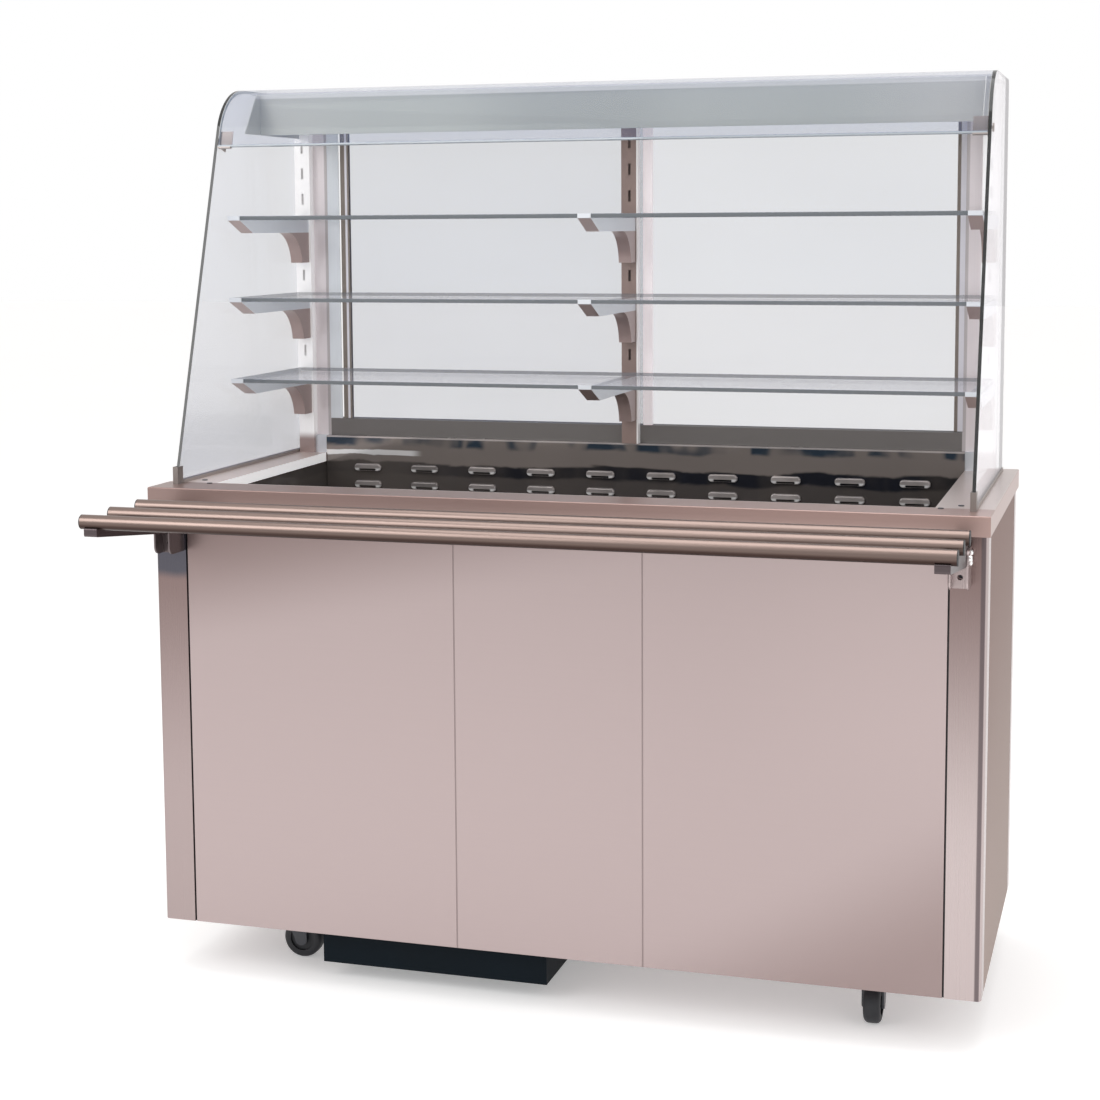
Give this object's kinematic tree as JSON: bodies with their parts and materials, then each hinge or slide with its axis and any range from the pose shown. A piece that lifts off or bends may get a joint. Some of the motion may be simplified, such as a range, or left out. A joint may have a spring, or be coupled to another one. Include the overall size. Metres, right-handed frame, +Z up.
{
  "type": "chilled display case",
  "caption": "Wheeled stainless servery counter with a blown-air chilled well, glass shelves under a curved visor and lit canopy, sliding rear glass doors and a fold-down tubular tray slide.",
  "frame": {"origin": "on the floor under the middle of the whole object, tray slide included", "axes": "+Z up, the customer side with the tray slide faces -Y, +X to the customer's right"},
  "size_m": [1.505, 0.94, 1.648],
  "materials": {
    "satin_steel": "satin brushed, faintly warm",
    "mirror_steel": "mirror polished",
    "bright_steel": "bright satin",
    "clear_glass": "clear toughened, pale green edges",
    "anodised": "satin anodised",
    "black_paint": "black, satin",
    "black_plastic": "black, matte",
    "tyre_black": "black nylon tread",
    "zinc": "dark plated",
    "foam": "rigid foam, unseen",
    "copper": "drawn copper",
    "lamp": "opal tube",
    "red_plastic": "translucent red",
    "green_plastic": "translucent green"
  },
  "bodies": {
    "cabinet": {"corner_posts": "satin_steel", "base_tray": "satin_steel", "drop_pan": "black_paint", "front_panel_left": "satin_steel", "front_panel_middle": "satin_steel", "front_panel_right": "satin_steel", "side_panel_left": "satin_steel", "side_panel_right": "satin_steel", "rear_panel": "satin_steel", "service_panel": "satin_steel", "control_panel": "satin_steel", "controller": "black_plastic", "mains_gland": "black_plastic", "counter_top": "satin_steel", "well_liner": "mirror_steel", "well_insulation": "foam", "well_back": "mirror_steel", "well_deck": "mirror_steel", "evaporator": "anodised", "compressor": "black_paint", "condenser": "anodised", "condenser_shroud": "black_paint", "pipework": "copper", "rear_sill": "satin_steel", "uprights": "bright_steel", "door_frame": "anodised", "end_glass_left": "clear_glass", "end_glass_right": "clear_glass", "glass_rails": "bright_steel", "visor_glass": "clear_glass", "visor_clips": "bright_steel", "light_canopy": "satin_steel", "lamp_tube": "lamp", "shelf_brackets": "bright_steel", "shelf_glass_top": "clear_glass", "shelf_glass_middle": "clear_glass", "shelf_glass_bottom": "clear_glass", "tray_brackets": "satin_steel", "castor_plates": "zinc", "fixings": "zinc"},
    "door_left": {"door_left_pane": "clear_glass", "door_left_edges": "anodised"},
    "door_right": {"door_right_pane": "clear_glass", "door_right_edges": "anodised"},
    "tray_slide": {"tray_tubes": "satin_steel", "tray_caps": "black_plastic", "tray_arms": "satin_steel"},
    "power_rocker": {"rocker_power": "green_plastic"},
    "light_rocker": {"rocker_light": "red_plastic"},
    "condenser_blades": {"condenser_fan": "black_plastic"},
    "blower": {"evaporator_fan": "black_plastic"},
    "fork_front_left": {"castor_fork_front_left": "zinc"},
    "wheel_front_left": {"castor_wheel_front_left": "tyre_black"},
    "fork_front_right": {"castor_fork_front_right": "zinc"},
    "wheel_front_right": {"castor_wheel_front_right": "tyre_black"},
    "fork_rear_left": {"castor_fork_rear_left": "zinc"},
    "wheel_rear_left": {"castor_wheel_rear_left": "tyre_black"},
    "fork_rear_right": {"castor_fork_rear_right": "zinc"},
    "wheel_rear_right": {"castor_wheel_rear_right": "tyre_black"}
  },
  "joints": [
    {"name": "door_left_slide", "type": "slide", "parent": "cabinet", "child": "door_left", "axis": [1, 0, 0], "range_m": [-0.0277, 0.608]},
    {"name": "door_right_slide", "type": "slide", "parent": "cabinet", "child": "door_right", "axis": [-1, 0, 0], "range_m": [0, 0.636]},
    {"name": "tray_fold", "type": "hinge", "parent": "cabinet", "child": "tray_slide", "pos_m": [0, -0.205, 0.85], "axis": [1, 0, 0], "range_deg": [0, 90]},
    {"name": "power_rock", "type": "hinge", "parent": "cabinet", "child": "power_rocker", "pos_m": [-0.3145, 0.457, 0.5565], "axis": [1, 0, 0], "range_deg": [-16, 0]},
    {"name": "light_rock", "type": "hinge", "parent": "cabinet", "child": "light_rocker", "pos_m": [-0.2685, 0.457, 0.5565], "axis": [1, 0, 0], "range_deg": [-16, 0]},
    {"name": "condenser_spin", "type": "hinge", "parent": "cabinet", "child": "condenser_blades", "pos_m": [-0.2325, 0.2795, 0.1585], "axis": [0, 1, 0], "continuous": true},
    {"name": "blower_spin", "type": "hinge", "parent": "cabinet", "child": "blower", "pos_m": [0, 0.231, 0.697], "axis": [1, 0, 0], "continuous": true},
    {"name": "swivel_front_left", "type": "hinge", "parent": "cabinet", "child": "fork_front_left", "pos_m": [-0.556, -0.02, 0.09], "axis": [0, 0, 1], "continuous": true},
    {"name": "spin_front_left", "type": "hinge", "parent": "fork_front_left", "child": "wheel_front_left", "pos_m": [-0.53, -0.02, 0.0375], "axis": [0, 1, 0], "continuous": true},
    {"name": "swivel_front_right", "type": "hinge", "parent": "cabinet", "child": "fork_front_right", "pos_m": [0.556, -0.02, 0.09], "axis": [0, 0, 1], "continuous": true},
    {"name": "spin_front_right", "type": "hinge", "parent": "fork_front_right", "child": "wheel_front_right", "pos_m": [0.556, -0.046, 0.0375], "axis": [1, 0, 0], "continuous": true},
    {"name": "swivel_rear_left", "type": "hinge", "parent": "cabinet", "child": "fork_rear_left", "pos_m": [-0.556, 0.31, 0.09], "axis": [0, 0, 1], "continuous": true},
    {"name": "spin_rear_left", "type": "hinge", "parent": "fork_rear_left", "child": "wheel_rear_left", "pos_m": [-0.57956, 0.32099, 0.0375], "axis": [-0.4226, -0.9063, 0], "continuous": true},
    {"name": "swivel_rear_right", "type": "hinge", "parent": "cabinet", "child": "fork_rear_right", "pos_m": [0.556, 0.31, 0.09], "axis": [0, 0, 1], "continuous": true},
    {"name": "spin_rear_right", "type": "hinge", "parent": "fork_rear_right", "child": "wheel_rear_right", "pos_m": [0.569, 0.33252, 0.0375], "axis": [-0.866, 0.5, 0], "continuous": true}
  ]
}
